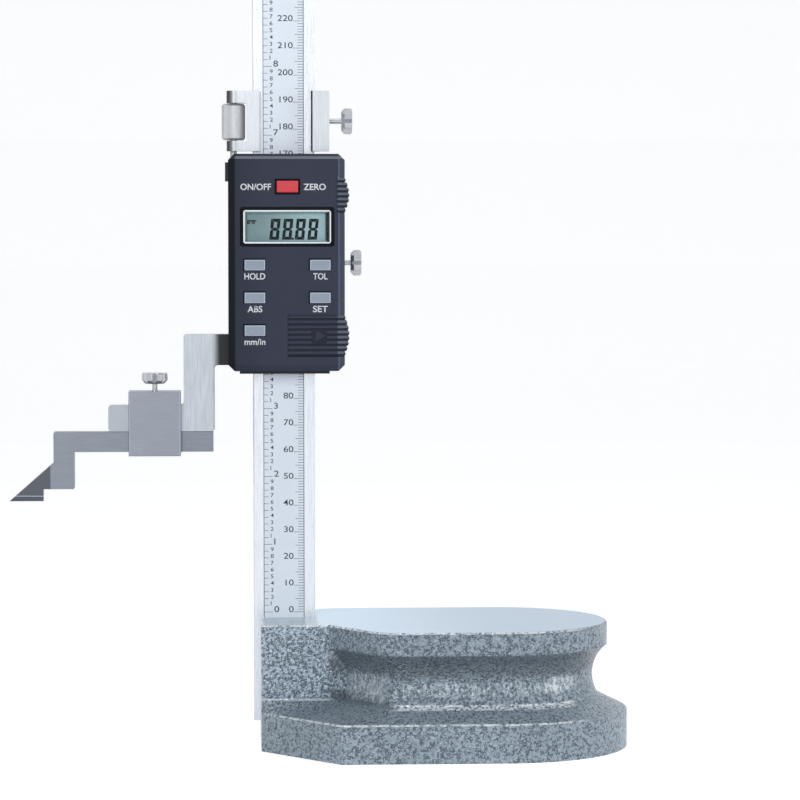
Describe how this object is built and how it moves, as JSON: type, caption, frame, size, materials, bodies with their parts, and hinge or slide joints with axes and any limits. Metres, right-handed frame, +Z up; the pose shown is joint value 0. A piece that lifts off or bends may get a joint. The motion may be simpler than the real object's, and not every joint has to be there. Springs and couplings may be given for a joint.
{
  "type": "digital height gauge",
  "caption": "Digital height gauge: weighted cast base, upright steel beam with a printed scale, sliding display head with fine feed, stepped arm with a clamped scriber.",
  "frame": {"origin": "middle of the base's ground underside, on the surface that the gauge stands on", "axes": "+Z up along the beam, +X from the beam towards the base's rounded end, -Y towards the reader of the scale"},
  "size_m": [0.2296, 0.0938, 0.358],
  "materials": {
    "base_enamel": "blue-grey hammertone enamel, ground bright on the top and underside",
    "ground_steel": "satin ground stainless steel",
    "scale_print": "pale satin plate with black graduations",
    "screw_steel": "turned steel",
    "bright_steel": "bright nickel plate",
    "gib_brass": "plain rolled strip",
    "housing_plastic": "fine matte moulding, blue-black",
    "display_frame": "satin frame",
    "clear_window": "clear polished plastic",
    "display_cell": "grey-green display",
    "pad_rubber": "soft moulded rubber",
    "board_green": "coated board",
    "red_key": "moulded key",
    "grey_key": "moulded key",
    "cell_steel": "plain steel can",
    "contact_brass": "spring strip",
    "carbide": "dark ground carbide"
  },
  "bodies": {
    "base": {"base_casting": "base_enamel", "beam": "ground_steel", "scale_plate": "scale_print", "beam_screws": "screw_steel"},
    "carriage": {"carriage": "ground_steel", "carriage_gib": "gib_brass"},
    "slider": {"slider_frame": "ground_steel", "slider_gib": "gib_brass", "slider_back_plate": "ground_steel", "housing": "housing_plastic", "display_frame": "display_frame", "display_window": "clear_window", "lcd_glass": "display_cell", "contact_strips": "pad_rubber", "circuit_board": "board_green", "reading_head": "board_green", "keypad_mat": "pad_rubber", "power_mat": "pad_rubber", "battery": "cell_steel", "battery_contact": "contact_brass", "feed_screw": "screw_steel"},
    "feed_nut": {"feed_nut": "bright_steel"},
    "slider_lock_screw": {"slider_lock_screw": "bright_steel"},
    "carriage_lock_screw": {"carriage_lock_screw": "bright_steel"},
    "scriber_clamp": {"scriber_clamp": "ground_steel", "clamp_pad": "screw_steel"},
    "clamp_screw": {"clamp_screw": "bright_steel"},
    "scriber": {"scriber": "ground_steel", "scriber_tip": "carbide"},
    "power_button": {"power_button": "red_key"},
    "hold_button": {"hold_button": "grey_key"},
    "tolerance_button": {"tolerance_button": "grey_key"},
    "abs_button": {"abs_button": "grey_key"},
    "set_button": {"set_button": "grey_key"},
    "unit_button": {"unit_button": "grey_key"},
    "battery_cover": {"battery_cover": "housing_plastic"},
    "port_cover": {"port_cover": "housing_plastic"}
  },
  "joints": [
    {"name": "head_slide", "type": "slide", "parent": "base", "child": "carriage", "axis": [0, 0, 1], "range_m": [-0.0884, 0.109]},
    {"name": "fine_feed", "type": "slide", "parent": "carriage", "child": "slider", "axis": [0, 0, 1], "range_m": [-0.002, 0.0008]},
    {"name": "feed_nut_turn", "type": "hinge", "parent": "carriage", "child": "feed_nut", "pos_m": [-0.0778, 0.01, 0.2314], "axis": [0, 0, 1], "range_deg": [-577, 1441]},
    {"name": "slider_lock_turn", "type": "hinge", "parent": "slider", "child": "slider_lock_screw", "pos_m": [-0.0423, 0.01075, 0.1792], "axis": [1, 0, 0], "range_deg": [0, 360]},
    {"name": "carriage_lock_turn", "type": "hinge", "parent": "carriage", "child": "carriage_lock_screw", "pos_m": [-0.0423, 0.01075, 0.23175], "axis": [1, 0, 0], "range_deg": [0, 360]},
    {"name": "clamp_slide", "type": "slide", "parent": "slider", "child": "scriber_clamp", "axis": [1, 0, 0], "range_m": [-0.007, 0.0005]},
    {"name": "clamp_screw_turn", "type": "hinge", "parent": "scriber_clamp", "child": "clamp_screw", "pos_m": [-0.10733, 0.011, 0.1315], "axis": [0, 0, 1], "range_deg": [0, 360]},
    {"name": "scriber_slide", "type": "slide", "parent": "slider", "child": "scriber", "axis": [1, 0, 0], "range_m": [-0.018, 0.01]},
    {"name": "power_press", "type": "slide", "parent": "slider", "child": "power_button", "axis": [0, 1, 0], "range_m": [0, 0.0006], "stiffness_N_per_m": 800},
    {"name": "hold_press", "type": "slide", "parent": "slider", "child": "hold_button", "axis": [0, 1, 0], "range_m": [0, 0.0006], "stiffness_N_per_m": 800},
    {"name": "tolerance_press", "type": "slide", "parent": "slider", "child": "tolerance_button", "axis": [0, 1, 0], "range_m": [0, 0.0006], "stiffness_N_per_m": 800},
    {"name": "abs_press", "type": "slide", "parent": "slider", "child": "abs_button", "axis": [0, 1, 0], "range_m": [0, 0.0006], "stiffness_N_per_m": 800},
    {"name": "set_press", "type": "slide", "parent": "slider", "child": "set_button", "axis": [0, 1, 0], "range_m": [0, 0.0006], "stiffness_N_per_m": 800},
    {"name": "unit_press", "type": "slide", "parent": "slider", "child": "unit_button", "axis": [0, 1, 0], "range_m": [0, 0.0006], "stiffness_N_per_m": 800},
    {"name": "battery_cover_slide", "type": "slide", "parent": "slider", "child": "battery_cover", "axis": [1, 0, 0], "range_m": [0, 0.024]},
    {"name": "port_cover_slide", "type": "slide", "parent": "slider", "child": "port_cover", "axis": [1, 0, 0], "range_m": [0, 0.007]}
  ],
  "couplings": [
    {"joint": "feed_nut_turn", "follows": "fine_feed", "rad_per_m": -12566}
  ]
}
